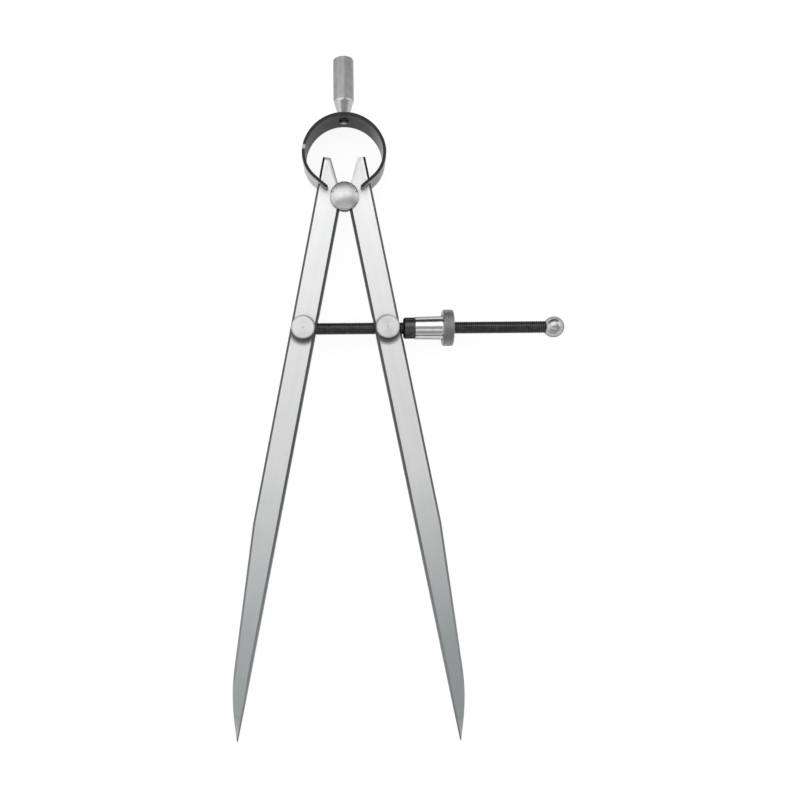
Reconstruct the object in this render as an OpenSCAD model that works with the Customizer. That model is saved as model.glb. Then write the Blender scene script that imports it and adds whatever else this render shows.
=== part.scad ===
// Spring divider lying on its back: handle towards +Y, points towards -Y, front face up (+Z).
// The origin is the centre of the flat rear face of the fulcrum cap, on the fulcrum axis.

/* [Legs] */
// Distance from the fulcrum axis to the points
leg_length = 201.2; // [160:0.1:260]
// Width of the parallel part of a leg
leg_width = 9.25; // [8.6:0.05:13]
// Thickness of a leg
leg_thickness = 6.4; // [6:0.1:9]
// Angle of each leg to the tool's centre line
leg_spread = 11.28; // [6:0.01:20]
// Distance of a leg's straight inner edge from the fulcrum axis
inner_edge_offset = 1.05; // [0.8:0.05:1.6]
// Distance below the fulcrum at which the outer edge starts to taper
taper_start = 122; // [80:1:140]
// Distance above the point at which the taper turns into the point's bevel
knee_height = 16.7; // [12:0.1:24]
// Width that the taper would reach at that distance, before the blend
knee_width = 5.5; // [4:0.05:7]
// Radius that blends the taper into the bevel
knee_radius = 90; // [5:1:110]
// Width of the point itself
point_width = 0.4; // [0.2:0.05:1]
// Thickness of the point itself
point_thickness = 0.8; // [0.3:0.05:2]
// Length over which the faces are ground down to the point
grind_length = 24; // [10:1:40]
// Height of a leg's tail above the fulcrum
tail_height = 12.6; // [9:0.1:15]
// Width of the tail's flat top
tail_top_width = 2.9; // [1.5:0.1:4]
// Chamfer along a leg's long edges
edge_chamfer = 0.85; // [0.1:0.05:1.2]

/* [Fulcrum] */
// Diameter of the shank that the legs roll on
fulcrum_shank_d = 6; // [4.5:0.1:7]
// Diameter of the domed head
fulcrum_head_d = 10.3; // [8:0.1:11.5]
// Height of the head's straight rim
fulcrum_rim = 0.7; // [0.3:0.1:1.5]
// Rise of the dome above the rim
fulcrum_dome = 1.3; // [0.6:0.1:2]
// Diameter of the rear cap against the legs
fulcrum_cap_d = 7.4; // [7:0.1:11]
// Diameter of the rear cap's flat face
fulcrum_face_d = 6.2; // [5:0.1:7]
// Thickness of the rear cap
fulcrum_cap_thickness = 3.4; // [2:0.1:5]
// Height of the rear cap's straight rim
fulcrum_cap_rim = 1.2; // [0.4:0.1:1.6]
// Diameter of the stud's tail in the cap
fulcrum_tail_d = 3.6; // [2.5:0.1:4]
// Thickness of the cap's wall behind the tail
fulcrum_cap_wall = 1; // [0.5:0.1:1.4]

/* [Bow spring] */
// Outside diameter of the bow
bow_outer_d = 30.6; // [28:0.1:38]
// Thickness of the band
bow_thickness = 1.15; // [0.9:0.05:1.5]
// Width of the band, front to back
bow_width = 12.4; // [11:0.1:16]
// How far the straight ends lie inside the bow's circle
bow_flatten = 2.05; // [1:0.05:2.5]
// Radius that blends the bow into its straight ends
bow_bend_radius = 8; // [5:0.5:10]
// Slope of the straight ends
prong_slope = 41.1; // [35:0.1:48]
// Reach of the prongs over a leg, from its outer edge
prong_reach = 4.55; // [3:0.05:4.8]
// Height of the spring's notch above the fulcrum, along the leg
notch_height = 3.5; // [2.5:0.1:5]
// Depth of the notch, along the prong
notch_depth = 1.4; // [1.2:0.1:1.8]
// Angle of each side of the notch to the prong
notch_flank = 36; // [32:1:60]

/* [Handle] */
// Distance across the flats
handle_flats = 6.85; // [6:0.05:9]
// Number of sides
handle_sides = 8; // [6, 8, 10, 12]
// Turn of the sides about the handle's axis
handle_turn = 6.6; // [0:0.1:45]
// Height above the bow
handle_height = 21.6; // [15:0.1:32]
// Length of the cone at the foot
handle_cone = 6.3; // [3:0.1:8]
// Diameter of the foot on the bow
handle_foot_d = 3.4; // [3:0.1:5]
// Chamfer at the top
handle_chamfer = 0.6; // [0.2:0.1:1.2]
// Diameter of the tenon through the bow
tenon_d = 2.8; // [2:0.1:3]
// Diameter of the riveted end inside the bow
rivet_d = 4.2; // [3.4:0.1:6]
// Height of the riveted end
rivet_height = 0.8; // [0.5:0.1:1.2]

/* [Swivel studs] */
// Distance of the studs below the fulcrum, along the leg
stud_distance = 49.3; // [40:0.1:60]
// Diameter of the stud in the leg
stud_shank_d = 6.4; // [6:0.1:7]
// Diameter of the stud's head
stud_head_d = 8.4; // [7.4:0.1:9]
// Height of the stud's head
stud_head_height = 2.6; // [1.5:0.1:3.5]
// Chamfer round the stud's ends
stud_chamfer = 0.3; // [0.1:0.05:0.6]
// How far the stud's tail stands behind the leg
stud_proud = 0.4; // [0.1:0.1:1]

/* [Adjusting screw] */
// Outside diameter of the screw
screw_d = 4.3; // [3.6:0.05:4.4]
// Distance from the left stud to the ball's centre
screw_reach = 90.9; // [86:0.1:110]
// Depth of the screw's end past the left stud's axis
screw_inset = 2.2; // [1:0.1:2.6]
// Diameter of the ball
ball_d = 7.5; // [6:0.1:9]
// Diameter of the screw's spigot in the ball
spigot_d = 3; // [2:0.1:3.4]
// Depth of the spigot in the ball
spigot_depth = 5; // [3:0.1:5.5]

/* [Nut] */
// Distance of the collar from the right leg's edge, along the screw
collar_stand_off = 1.15; // [1.1:0.05:1.6]
// Diameter of the collar
collar_d = 7.65; // [6:0.05:8]
// Length of the collar
collar_length = 4.1; // [2:0.1:6]
// Chamfer at the collar's ends
collar_chamfer = 0.5; // [0.2:0.05:0.8]
// Length of the nut's sleeve
sleeve_length = 9.9; // [6:0.1:11]
// Diameter of the sleeve's end at the collar
sleeve_d = 8.05; // [7:0.05:9]
// Diameter of the sleeve at the flange
sleeve_foot_d = 8.4; // [7:0.05:9.5]
// Diameter of the flange
flange_d = 13.2; // [10:0.1:13.3]
// Length of the flange
flange_length = 3.9; // [3:0.1:5.5]
// Chamfer at the flange's rims
flange_chamfer = 0.45; // [0.2:0.05:0.8]
// Depth of the countersink in the flange's end
nut_countersink = 1; // [0.3:0.1:1.5]

/* [Motion] */
// Turn of each leg from here to wide open
opening_angle = 17.5; // [5:0.1:17.5]
// Turn of each leg from here to points together
closing_angle = 11.5; // [4:0.01:11.5]

/* [Fits] */
// Radial clearance of the stud and the fulcrum in the legs
pivot_clearance = 0.05; // [0.02:0.01:0.1]
// Gap between the legs and the faces beside them
face_gap = 0.1; // [0.05:0.01:0.2]
// Room round the screw in the legs' slots
slot_clearance = 0.3; // [0.2:0.05:0.4]
// Radial clearance on the screw
thread_clearance = 0.07; // [0.03:0.01:0.1]
// Radial clearance of pieces that are fixed together
fixed_clearance = 0.02; // [0.01:0.01:0.05]
// Gap between the bow's seat and its notch
seat_gap = 0.07; // [0.03:0.01:0.15]
// Extra swing that the slots allow beyond the legs' travel
slot_margin = 1; // [0.5:0.1:2]

/* [Hidden] */
$fn = 96;

// Overshoot of cutting solids past the faces that they cut
past = 1;
// How far the handle's turned outline passes the corners of its sides
handle_over = 0.2;
// Number of straight steps in a blended corner
corner_steps = 8;
// Turn of one straight step along the bow, in degrees
bow_step = 3;

// Heights: the leg's rear face, the middle plane that the screw lies in, and the leg's front face
leg_back = fulcrum_cap_thickness + face_gap;
mid_z = leg_back + leg_thickness / 2;
leg_front = leg_back + leg_thickness;

// Places in a leg's own frame, where the leg hangs straight down and its outer edge faces +X
outer_edge = inner_edge_offset + leg_width;
stud_in_leg = [inner_edge_offset + leg_width / 2, -stud_distance];
prong_in_leg = prong_slope - leg_spread;
prong_out = [cos(prong_in_leg), sin(prong_in_leg)];
notch_mouth = [outer_edge, notch_height];
notch_root = notch_mouth - notch_depth * prong_out;

// Places in the tool's frame, on its right side
stud = turned(stud_in_leg, leg_spread);
mouth = turned(notch_mouth, leg_spread);
along_prong = [cos(prong_slope), sin(prong_slope)];
across_prong = [sin(prong_slope), -cos(prong_slope)];

// The bow: its circle's centre follows from its size, because its ends lie on the prongs' lines
bow_radius = (bow_outer_d - bow_thickness) / 2;
line_distance = bow_radius - bow_flatten;
bow_centre_y = mouth.y + (line_distance - mouth.x * sin(prong_slope)) / cos(prong_slope);
bow_centre = [0, bow_centre_y];
bend_reach = sqrt(pow(bow_radius - bow_bend_radius, 2) - pow(line_distance - bow_bend_radius, 2));
bend_centre = bow_centre + across_prong * (line_distance - bow_bend_radius) + along_prong * bend_reach;
bow_end_angle = atan2(bend_centre.y - bow_centre.y, bend_centre.x);
prong_foot = bend_centre + across_prong * bow_bend_radius;
prong_tip = mouth - along_prong * prong_reach;
bow_top = bow_centre_y + bow_outer_d / 2;
bow_inner_radius = bow_radius - bow_thickness / 2;
// Least distance of the band's end from the notch's root, so that its corners clear the flanks
seat_depth = bow_thickness / 2 / tan(notch_flank) + seat_gap;
seat = mouth - along_prong * (notch_depth - seat_depth);

handle_corner_d = handle_flats / cos(180 / handle_sides);
bore_d = screw_d + 2 * thread_clearance;
collar_start = leg_width / 2 + collar_stand_off;
collar_end = collar_start + collar_length;
nut_start = collar_end + face_gap;

function turned(p, angle) = [
    p.x * cos(angle) - p.y * sin(angle),
    p.x * sin(angle) + p.y * cos(angle)
];

// Points of an arc of radius r that blends the corner b between a and c
function blended(a, b, c, r) =
    let (
        u = (a - b) / norm(a - b),
        v = (c - b) / norm(c - b),
        half = acos(u * v) / 2,
        centre = b + (u + v) / norm(u + v) * r / sin(half),
        first = b + u * r / tan(half) - centre,
        last = b + v * r / tan(half) - centre,
        start = atan2(first.y, first.x),
        sweep = atan2(first.x * last.y - first.y * last.x, first * last)
    )
    [for (i = [0:corner_steps]) centre + r * [
        cos(start + sweep * i / corner_steps),
        sin(start + sweep * i / corner_steps)
    ]];

// Outline of a leg seen from the front
module leg_outline() {
    point = [inner_edge_offset, -leg_length];
    point_outer = point + [point_width, 0];
    knee = [inner_edge_offset + knee_width, -leg_length + knee_height];
    shoulder = [outer_edge, -taper_start];
    polygon(concat(
        [
            point,
            [inner_edge_offset, 0],
            [outer_edge - tail_top_width, tail_height],
            [outer_edge, tail_height],
            shoulder
        ],
        blended(shoulder, knee, point_outer, knee_radius),
        [point_outer]
    ));
}

// Wedge that grinds one face of a leg down towards the point; side is 1 in front and -1 behind
module point_grind(side) {
    half = leg_thickness / 2;
    slope = (half - point_thickness / 2) / grind_length;
    top = half + past + slope * past;
    translate([inner_edge_offset - past, 0, mid_z])
        rotate([90, 0, 90])
            linear_extrude(height = leg_width + 2 * past)
                polygon([
                    [-leg_length - past, side * (point_thickness / 2 - slope * past)],
                    [-leg_length + grind_length + past, side * (half + slope * past)],
                    [-leg_length + grind_length + past, side * top],
                    [-leg_length - past, side * top]
                ]);
}

// Wedges that chamfer both long edges on the side wall that runs through p at this angle
module edge_wedges(p, angle) {
    half = leg_thickness / 2;
    corner = half + past;
    for (side = [-1, 1])
        translate([p.x, p.y, mid_z])
            rotate([0, 0, angle])
                rotate([90, 0, 0])
                    linear_extrude(height = 4 * leg_length, center = true)
                        polygon([
                            [-edge_chamfer - past, side * corner],
                            [past, side * corner],
                            [past, side * (corner - edge_chamfer - 2 * past)]
                        ]);
}

// Slot in one half of a leg, wide enough for the screw at every swing of the leg
module screw_slot() {
    half = screw_d / 2 + slot_clearance;
    least = leg_spread - closing_angle - slot_margin;
    most = leg_spread + opening_angle + slot_margin;
    reach = leg_width / 2 + past;
    translate([stud_in_leg.x, stud_in_leg.y, mid_z])
        linear_extrude(height = 2 * half, center = true)
            polygon([
                [0, half],
                [reach, half / cos(least) - reach * tan(least)],
                [reach, -half / cos(most) - reach * tan(most)],
                [0, -half]
            ]);
}

// V notch in a leg's outer edge for one end of the bow
module bow_notch() {
    reach = notch_depth + leg_width;
    translate([notch_root.x, notch_root.y, leg_back - past])
        rotate([0, 0, prong_in_leg])
            linear_extrude(height = leg_thickness + 2 * past)
                polygon([
                    [0, 0],
                    [reach * cos(notch_flank), -reach * sin(notch_flank)],
                    [reach * cos(notch_flank), reach * sin(notch_flank)]
                ]);
}

// A leg in its own frame, hanging straight down, with its outer edge on the right
module hanging_leg(slot_through) {
    taper = atan((leg_width - knee_width) / (leg_length - knee_height - taper_start));
    difference() {
        translate([0, 0, leg_back])
            linear_extrude(height = leg_thickness)
                leg_outline();
        edge_wedges([outer_edge, 0], 0);
        edge_wedges([outer_edge, -taper_start], -taper);
        translate([inner_edge_offset, 0, 0])
            mirror([1, 0, 0])
                edge_wedges([0, 0], 0);
        point_grind(1);
        point_grind(-1);
        translate([0, 0, leg_back - past])
            cylinder(d = fulcrum_shank_d + 2 * pivot_clearance, h = leg_thickness + 2 * past);
        translate([stud_in_leg.x, stud_in_leg.y, leg_back - past])
            cylinder(d = stud_shank_d + 2 * pivot_clearance, h = leg_thickness + 2 * past);
        translate([stud_in_leg.x, stud_in_leg.y, 0])
            rotate([0, 0, 180])
                translate([-stud_in_leg.x, -stud_in_leg.y, 0])
                    screw_slot();
        if (slot_through)
            screw_slot();
        bow_notch();
    }
}

module right_leg() {
    color([0.74, 0.75, 0.76])
        rotate([0, 0, leg_spread])
            hanging_leg(true);
}

module left_leg() {
    color([0.72, 0.73, 0.74])
        mirror([1, 0, 0])
            rotate([0, 0, leg_spread])
                hanging_leg(false);
}

// Stud that the legs roll on: tail in the cap, shank between the legs, domed head in front
module fulcrum_stud() {
    head_r = fulcrum_head_d / 2;
    dome_r = (head_r * head_r + fulcrum_dome * fulcrum_dome) / (2 * fulcrum_dome);
    head_back = leg_front + face_gap;
    head_height = fulcrum_rim + fulcrum_dome;
    tail_end = fulcrum_cap_wall + fixed_clearance;
    color([0.82, 0.82, 0.82]) {
        translate([0, 0, tail_end])
            cylinder(d = fulcrum_tail_d, h = leg_front - tail_end);
        translate([0, 0, fulcrum_cap_thickness])
            cylinder(d = fulcrum_shank_d, h = leg_front - fulcrum_cap_thickness + face_gap + fulcrum_rim);
        intersection() {
            translate([0, 0, head_back])
                cylinder(d = fulcrum_head_d, h = head_height + past);
            translate([0, 0, head_back + head_height - dome_r])
                sphere(r = dome_r);
        }
    }
}

// Rear cap on the stud's tail, tapered towards the flat face that the tool lies on
module fulcrum_cap() {
    rim = fulcrum_cap_d / 2;
    inner = fulcrum_tail_d / 2 + fixed_clearance;
    color([0.62, 0.63, 0.64])
        rotate_extrude()
            polygon([
                [0, 0],
                [fulcrum_face_d / 2, 0],
                [rim, fulcrum_cap_thickness - fulcrum_cap_rim],
                [rim, fulcrum_cap_thickness],
                [inner, fulcrum_cap_thickness],
                [inner, fulcrum_cap_wall],
                [0, fulcrum_cap_wall]
            ]);
}

// Points along an arc, in steps of about bow_step degrees
function arc(centre, radius, from, to) =
    let (steps = ceil(abs(to - from) / bow_step))
    [for (i = [0:steps]) centre + radius * [
        cos(from + (to - from) * i / steps),
        sin(from + (to - from) * i / steps)
    ]];

// One face of the band's right half, from the prong's tip up to the top; side is 1 outside and -1 inside
function half_face(side) =
    let (off = side * bow_thickness / 2)
    concat(
        [prong_tip + across_prong * off],
        arc(bend_centre, bow_bend_radius + off, prong_slope - 90, bow_end_angle),
        after_first(arc(bow_centre, bow_radius + off, bow_end_angle, 90))
    );

function after_first(points) = [for (i = [1:len(points) - 1]) points[i]];

function reversed(points) = [for (i = [len(points) - 1:-1:0]) points[i]];

function mirrored(points) = [for (p = points) [-p.x, p.y]];

// Room for the leg between the two prongs of the bow's right end
module fork_slot() {
    translate([seat.x, seat.y, mid_z])
        rotate([0, 0, prong_slope])
            translate([-prong_reach - past, -leg_width / 2, -leg_thickness / 2 - face_gap])
                cube([prong_reach + past, leg_width, leg_thickness + 2 * face_gap]);
}

module bow_spring() {
    color([0.24, 0.24, 0.25])
        difference() {
            translate([0, 0, mid_z - bow_width / 2])
                linear_extrude(height = bow_width)
                    polygon(concat(
                        half_face(1),
                        after_first(reversed(mirrored(half_face(1)))),
                        mirrored(half_face(-1)),
                        after_first(reversed(half_face(-1)))
                    ));
            fork_slot();
            mirror([1, 0, 0])
                fork_slot();
            translate([0, bow_centre_y, mid_z])
                rotate([-90, 0, 0])
                    cylinder(d = tenon_d + 2 * fixed_clearance, h = bow_outer_d);
        }
}

// Turned outline of the handle about its axis, from the foot up; y here is the height above the bow
module handle_turning() {
    corner = handle_corner_d / 2;
    foot = handle_foot_d / 2;
    cone_steepness = handle_cone / (corner - foot);
    polygon([
        [0, -bow_thickness / 2],
        [foot, -bow_thickness / 2],
        [foot, 0],
        [corner + handle_over, handle_cone + handle_over * cone_steepness],
        [corner + handle_over, handle_height - handle_chamfer - handle_over / 2],
        [corner - 2 * handle_chamfer, handle_height],
        [0, handle_height]
    ]);
}

module handle() {
    rivet_seat = bow_centre_y + bow_inner_radius;
    color([0.66, 0.66, 0.66]) {
        difference() {
            translate([0, bow_top, mid_z])
                rotate([-90, 0, 0])
                    intersection() {
                        rotate([0, 0, handle_turn])
                            translate([0, 0, -past])
                                cylinder(d = handle_corner_d, h = handle_height + 2 * past, $fn = handle_sides);
                        rotate_extrude()
                            handle_turning();
                    }
            translate([0, bow_centre_y, mid_z - bow_width])
                cylinder(d = bow_outer_d, h = 2 * bow_width);
        }
        translate([0, rivet_seat - rivet_height / 2, mid_z])
            rotate([-90, 0, 0])
                cylinder(d = tenon_d, h = bow_thickness + rivet_height / 2 + handle_cone);
        intersection() {
            translate([0, rivet_seat - rivet_height, mid_z])
                rotate([-90, 0, 0])
                    cylinder(d1 = tenon_d, d2 = rivet_d, h = rivet_height);
            translate([0, bow_centre_y, mid_z - bow_width])
                cylinder(r = bow_inner_radius - fixed_clearance, h = 2 * bow_width);
        }
    }
}

// Swivel stud at the place p: head in front of the leg, shank through it
module swivel_body(p) {
    shank = stud_shank_d / 2;
    head = stud_head_d / 2;
    back = leg_back - stud_proud;
    head_back = leg_front + face_gap;
    head_top = head_back + stud_head_height;
    translate([p.x, p.y, 0])
        rotate_extrude()
            polygon([
                [0, back],
                [shank - stud_chamfer, back],
                [shank, back + stud_chamfer],
                [shank, head_back],
                [head, head_back],
                [head, head_top - stud_chamfer],
                [head - stud_chamfer, head_top],
                [0, head_top]
            ]);
}

// Lays a shape that stands on z along the screw, from a distance x to the right of the place p
module along_screw(p, x) {
    translate([p.x + x, p.y, mid_z])
        rotate([0, 90, 0])
            children();
}

module left_swivel_stud() {
    place = [-stud.x, stud.y];
    color([0.8, 0.8, 0.8])
        difference() {
            swivel_body(place);
            along_screw(place, -screw_inset - fixed_clearance)
                cylinder(d = screw_d + 2 * fixed_clearance, h = screw_inset + stud_head_d);
        }
}

module right_swivel_stud() {
    color([0.8, 0.8, 0.8])
        difference() {
            swivel_body(stud);
            along_screw(stud, -stud_head_d)
                cylinder(d = bore_d, h = 2 * stud_head_d);
        }
}

// The screw, with its spigot in the ball
module adjusting_screw() {
    place = [-stud.x, stud.y];
    ball_face = screw_reach - sqrt(pow(ball_d / 2, 2) - pow(screw_d / 2, 2));
    color([0.13, 0.13, 0.14]) {
        along_screw(place, -screw_inset)
            cylinder(d = screw_d, h = screw_inset + ball_face);
        along_screw(place, ball_face)
            cylinder(d = spigot_d, h = spigot_depth);
    }
}

module ball_end() {
    place = [-stud.x, stud.y];
    ball_face = screw_reach - sqrt(pow(ball_d / 2, 2) - pow(screw_d / 2, 2));
    color([0.8, 0.8, 0.81])
        difference() {
            along_screw(place, screw_reach)
                sphere(d = ball_d);
            along_screw(place, ball_face - ball_d)
                cylinder(d = screw_d + 2 * fixed_clearance, h = ball_d);
            along_screw(place, ball_face - past)
                cylinder(d = spigot_d + 2 * fixed_clearance, h = spigot_depth + past + fixed_clearance);
        }
}

module thrust_collar() {
    outer = collar_d / 2;
    color([0.12, 0.12, 0.13])
        along_screw(stud, collar_start)
            rotate_extrude()
                polygon([
                    [bore_d / 2, 0],
                    [outer - collar_chamfer, 0],
                    [outer, collar_chamfer],
                    [outer, collar_length],
                    [bore_d / 2, collar_length]
                ]);
}

// Nut: sleeve that swells towards a flange, with a countersunk end
module adjusting_nut() {
    inner = bore_d / 2;
    flange = flange_d / 2;
    flange_end = sleeve_length + flange_length;
    color([0.76, 0.76, 0.77])
        along_screw(stud, nut_start)
            rotate_extrude()
                polygon([
                    [inner, 0],
                    [sleeve_d / 2, 0],
                    [sleeve_foot_d / 2, sleeve_length],
                    [flange - flange_chamfer, sleeve_length],
                    [flange, sleeve_length + flange_chamfer],
                    [flange, flange_end - flange_chamfer],
                    [flange - flange_chamfer, flange_end],
                    [inner + nut_countersink, flange_end],
                    [inner, flange_end - nut_countersink]
                ]);
}

left_leg();
right_leg();
fulcrum_stud();
fulcrum_cap();
bow_spring();
handle();
left_swivel_stud();
right_swivel_stud();
adjusting_screw();
ball_end();
thrust_collar();
adjusting_nut();
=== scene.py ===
# %% [markdown]
# # A spring divider, dressed around its CAD frame
# The solids of the tool come from the imported CAD model, and they stay where they are.
# This lesson adds what those solids lack: the thread on the rod, the knurl on the nut,
# a spring made in two halves, one for each leg, and a finish for every surface.

# %% Load the frame
import math

import bpy
import numpy as np
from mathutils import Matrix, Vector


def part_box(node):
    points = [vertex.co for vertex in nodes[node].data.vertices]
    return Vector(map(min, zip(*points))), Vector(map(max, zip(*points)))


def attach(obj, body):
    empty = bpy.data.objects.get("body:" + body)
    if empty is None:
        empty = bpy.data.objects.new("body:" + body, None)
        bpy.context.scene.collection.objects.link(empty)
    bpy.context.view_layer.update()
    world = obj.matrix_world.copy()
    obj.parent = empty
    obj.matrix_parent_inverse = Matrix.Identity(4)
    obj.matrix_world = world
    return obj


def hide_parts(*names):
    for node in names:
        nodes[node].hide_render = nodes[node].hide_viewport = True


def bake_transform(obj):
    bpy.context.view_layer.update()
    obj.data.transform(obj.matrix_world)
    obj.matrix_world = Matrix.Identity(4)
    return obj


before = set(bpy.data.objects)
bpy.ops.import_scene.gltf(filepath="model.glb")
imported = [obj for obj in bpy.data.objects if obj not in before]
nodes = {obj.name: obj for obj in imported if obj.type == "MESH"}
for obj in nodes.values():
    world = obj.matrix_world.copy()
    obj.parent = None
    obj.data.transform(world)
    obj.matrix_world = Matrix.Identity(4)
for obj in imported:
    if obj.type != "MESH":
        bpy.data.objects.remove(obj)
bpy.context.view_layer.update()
MM = 0.001

# %% [markdown]
# ## Places that the pieces share
# A piece of the scene sits where the CAD solids say, so its places are read from their boxes.
# The sizes that no box gives, such as the spring's bends, are named before their first use, in
# millimetres. The middles of the two studs stay in metres, because materials work in metres.

# %% Places read from the solids
screw_low, screw_high = (np.array(c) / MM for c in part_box("adjusting_screw"))
bow_low, bow_high = (np.array(c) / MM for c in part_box("bow_spring"))
nut_low, nut_high = (np.array(c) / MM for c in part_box("adjusting_nut"))
left_stud = [(a + b) / 2 for a, b in zip(*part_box("left_swivel_stud"))]
right_stud = [(a + b) / 2 for a, b in zip(*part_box("right_swivel_stud"))]
screw_y, middle_z = (screw_low[1:] + screw_high[1:]) / 2
print("screw axis at y %.3f, z %.3f" % (screw_y, middle_z))

# %% [markdown]
# ## The camera
# The photograph looks straight at the front of the tool, from near by: the far side of the
# spring shows through its ring. So the camera hangs over the tool, which lies on its back,
# and the lens is shifted because the tool isn't in the middle of the picture.

# %% Camera
CAMERA_PLACE = (1.27 * MM, -87.74 * MM, 319.5 * MM)
CAMERA_ROLL = math.radians(-0.485)
camera = bpy.data.objects.new("camera", bpy.data.cameras.new("camera"))
bpy.context.scene.collection.objects.link(camera)
camera.location = CAMERA_PLACE
camera.rotation_euler = (0, 0, CAMERA_ROLL)
camera.data.sensor_width = 36
camera.data.lens = 38.7
camera.data.shift_x = 0.0625
camera.data.shift_y = 0.05
camera.data.clip_start = 0.01
camera.data.dof.use_dof = False
bpy.context.scene.camera = camera
bpy.context.scene.view_settings.view_transform = "Standard"
print("camera: %.1f mm above the origin, lens %.1f mm" % (CAMERA_PLACE[2] / MM, camera.data.lens))

# %% [markdown]
# ## Making a mesh from a grid of points
# Every new piece is a sheet of points in rows and columns. Rows run along the piece and
# columns run round it, so each cell of the grid is one four-sided face. The signed volume
# says whether the faces point outwards, and if it is negative they are all turned over.

# %% Grid helper
SHARP_ANGLE = math.radians(38)


def grid_piece(name, points, ends_closed=True):
    """A closed mesh object from points[row, column] in millimetres. Columns wrap round.
    Rows wrap too, unless ends_closed says to close the first and last row with a face each."""
    rows, columns = points.shape[:2]
    index = np.arange(rows * columns).reshape(rows, columns)
    here = index[:-1] if ends_closed else index
    there = index[1:] if ends_closed else np.roll(index, -1, axis=0)
    beside_here, beside_there = np.roll(here, -1, axis=1), np.roll(there, -1, axis=1)
    quads = np.stack([here, beside_here, beside_there, there], axis=-1).reshape(-1, 4)
    flat = points.reshape(-1, 3)
    corner = flat[quads] - flat.mean(axis=0)
    halves = np.concatenate([corner[:, [0, 1, 2]], corner[:, [0, 2, 3]]])
    volume = np.einsum("ij,ij->i", halves[:, 0], np.cross(halves[:, 1], halves[:, 2])).sum()
    faces = quads.tolist()
    if ends_closed:
        faces += [index[0][::-1].tolist(), index[-1].tolist()]
    if volume < 0:
        faces = [face[::-1] for face in faces]
    mesh = bpy.data.meshes.new(name)
    mesh.from_pydata((flat * MM).tolist(), [], faces)
    mesh.shade_smooth()
    mesh.set_sharp_from_angle(angle=SHARP_ANGLE)
    piece = bpy.data.objects.new(name, mesh)
    bpy.context.scene.collection.objects.link(piece)
    print("%s: %d points, %d faces" % (name, len(flat), len(faces)))
    return piece


def name_points(piece, name, values):
    """Stores one number per point under a name, for the material to read."""
    attribute = piece.data.attributes.new(name, "FLOAT", "POINT")
    attribute.data.foreach_set("value", np.asarray(values, np.float32).ravel())


# %% [markdown]
# ## The bow spring
# On the real tool one flat band is bent into a ring. Its forked ends straddle the legs and
# rest in notches. Here a rounded oblong is carried along the middle line of the band. The
# ring is made in two halves that meet at the top, one for each leg.

# %% Middle line of the band
BAND_THICKNESS = 1.15
BAND_ROUND = 0.2
FORK_GAP = 6.6
ring_radius = (bow_high[0] - bow_low[0] - BAND_THICKNESS) / 2
ring_centre = np.array([0.0, bow_high[1] - BAND_THICKNESS / 2 - ring_radius])
BEND_RADIUS = 11.5
ENDS_INSIDE_RING = 2.05
PRONG_SLOPE = math.radians(41.1)
along_prong = np.array([math.cos(PRONG_SLOPE), math.sin(PRONG_SLOPE)])
across_prong = np.array([math.sin(PRONG_SLOPE), -math.cos(PRONG_SLOPE)])
line_distance = ring_radius - ENDS_INSIDE_RING
bend_reach = math.sqrt((ring_radius - BEND_RADIUS) ** 2 - (line_distance - BEND_RADIUS) ** 2)
bend_centre = ring_centre + across_prong * (line_distance - BEND_RADIUS) + along_prong * bend_reach
meeting_angle = math.atan2(bend_centre[1] - ring_centre[1], bend_centre[0])
PRONG_TIP = np.array([5.99, 2.46])
SEAT = np.array([9.01, 5.09])
print("spring: radius %.2f, centre y %.2f" % (ring_radius, ring_centre[1]))


def arc_line(centre, radius, start, stop, count):
    """Points and outward directions along an arc: centre plus radius times (cosine, sine)."""
    angle = np.linspace(start, stop, count)
    out = np.stack([np.cos(angle), np.sin(angle)], axis=-1)
    return centre + radius * out, out


def straight_line(start, stop, out, share):
    """Points at the given shares of the way from start to stop, all with one outward direction."""
    return start + (stop - start) * share[:, None], np.repeat(out[None], len(share), axis=0)


# %% Oblong section with rounded corners
CORNER_SUPPORT = 0.06


def rounded_oblong(thickness, width, radius, steps=4):
    """Points round an oblong: four quarter circles, each with a point just before and after it,
    which keeps the flats flat when the faces are shaded smoothly."""
    corners = []
    for sign_t, sign_w, first in ((1, 1, 0), (-1, 1, 90), (-1, -1, 180), (1, -1, 270)):
        angle = np.radians(np.linspace(first, first + 90, steps + 1))
        bend = np.stack([np.cos(angle), np.sin(angle)], axis=-1) * radius
        middle = np.array([sign_t * (thickness / 2 - radius), sign_w * (width / 2 - radius)])
        before = bend[:1] + CORNER_SUPPORT * np.array([[np.sin(angle[0]), -np.cos(angle[0])]])
        after = bend[-1:] + CORNER_SUPPORT * np.array([[-np.sin(angle[-1]), np.cos(angle[-1])]])
        corners.append(middle + np.concatenate([before, bend, after]))
    return np.concatenate(corners)


def band_piece(name, line, out, width, middle, side, prong):
    """Carries the oblong along the line: point = line + out * (its thickness part), z = its width part.
    side is 1 for the right half and -1 for its mirror image. Near a prong's tip the thickness
    shrinks as the height of a half circle does, which rounds the end."""
    section = rounded_oblong(BAND_THICKNESS, width, BAND_ROUND)
    length = np.concatenate([[0], np.cumsum(np.linalg.norm(np.diff(line, axis=0), axis=1))])
    to_tip = np.clip((length[-1] - length) / (BAND_THICKNESS / 2), 0.01, 1)
    fullness = np.sqrt(1 - (1 - to_tip) ** 2) if prong else np.ones(len(line))
    flat = line[:, None] + out[:, None] * section[None, :, :1] * fullness[:, None, None]
    height = np.broadcast_to(middle + section[:, 1], flat.shape[:2])
    points = np.stack([flat[..., 0] * side, flat[..., 1], height], axis=-1)
    piece = grid_piece(name, points)
    shape = points.shape[:2]
    name_points(piece, "outside", np.broadcast_to(section[:, 0] / (BAND_THICKNESS / 2), shape))
    name_points(piece, "along", np.broadcast_to(length[:, None], shape))
    name_points(piece, "across", height - middle_z)
    name_points(piece, "prong", np.full(shape, float(prong)))
    return piece


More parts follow.
